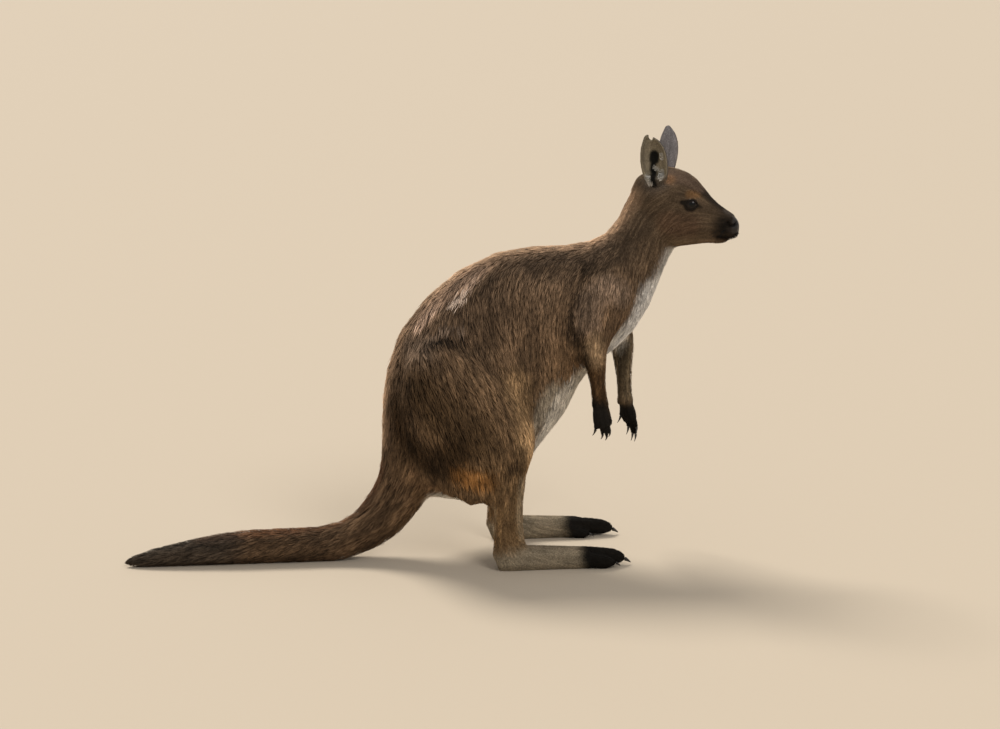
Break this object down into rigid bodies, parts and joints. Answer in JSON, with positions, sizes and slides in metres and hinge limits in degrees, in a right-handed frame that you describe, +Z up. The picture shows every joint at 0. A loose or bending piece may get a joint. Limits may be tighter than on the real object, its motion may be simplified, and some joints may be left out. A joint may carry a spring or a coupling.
{
  "type": "kangaroo",
  "caption": "Life-size standing model of a western grey kangaroo, resting on its long hind feet and tail with the forelimbs hanging and the head turned a little.",
  "frame": {"origin": "on the floor, below the middle of the figure's bounding box", "axes": "+X the way the body faces, from the tail to the nose; +Y to the animal's left; +Z up"},
  "size_m": [1.332, 0.33, 0.939],
  "materials": {
    "coat": "shaggy sooty-brown fur",
    "dark_coat": "short blackish fur",
    "pale_coat": "short pale fawn fur",
    "claw": "dark horn, slightly glossy",
    "eye": "wet dark brown eye"
  },
  "bodies": {
    "root": {"head": "coat", "neck": "coat", "trunk": "coat", "tail_root": "coat", "tail_middle": "coat", "tail_tip": "dark_coat", "eye_right": "eye", "ear_right": "coat", "thigh_right": "coat", "shank_right": "pale_coat", "foot_right": "pale_coat", "toe_claw_fourth_right": "claw", "toe_claw_fifth_right": "claw", "toe_claw_second_right": "claw", "toe_claw_third_right": "claw", "upper_arm_right": "coat", "forearm_right": "coat", "hand_right": "dark_coat", "finger_claw_1_right": "claw", "finger_claw_2_right": "claw", "finger_claw_3_right": "claw", "finger_claw_4_right": "claw", "finger_claw_5_right": "claw", "eye_left": "eye", "ear_left": "coat", "thigh_left": "coat", "shank_left": "pale_coat", "foot_left": "pale_coat", "toe_claw_fourth_left": "claw", "toe_claw_fifth_left": "claw", "toe_claw_second_left": "claw", "toe_claw_third_left": "claw", "upper_arm_left": "coat", "forearm_left": "coat", "hand_left": "dark_coat", "finger_claw_1_left": "claw", "finger_claw_2_left": "claw", "finger_claw_3_left": "claw", "finger_claw_4_left": "claw", "finger_claw_5_left": "claw"}
  },
  "joints": []
}
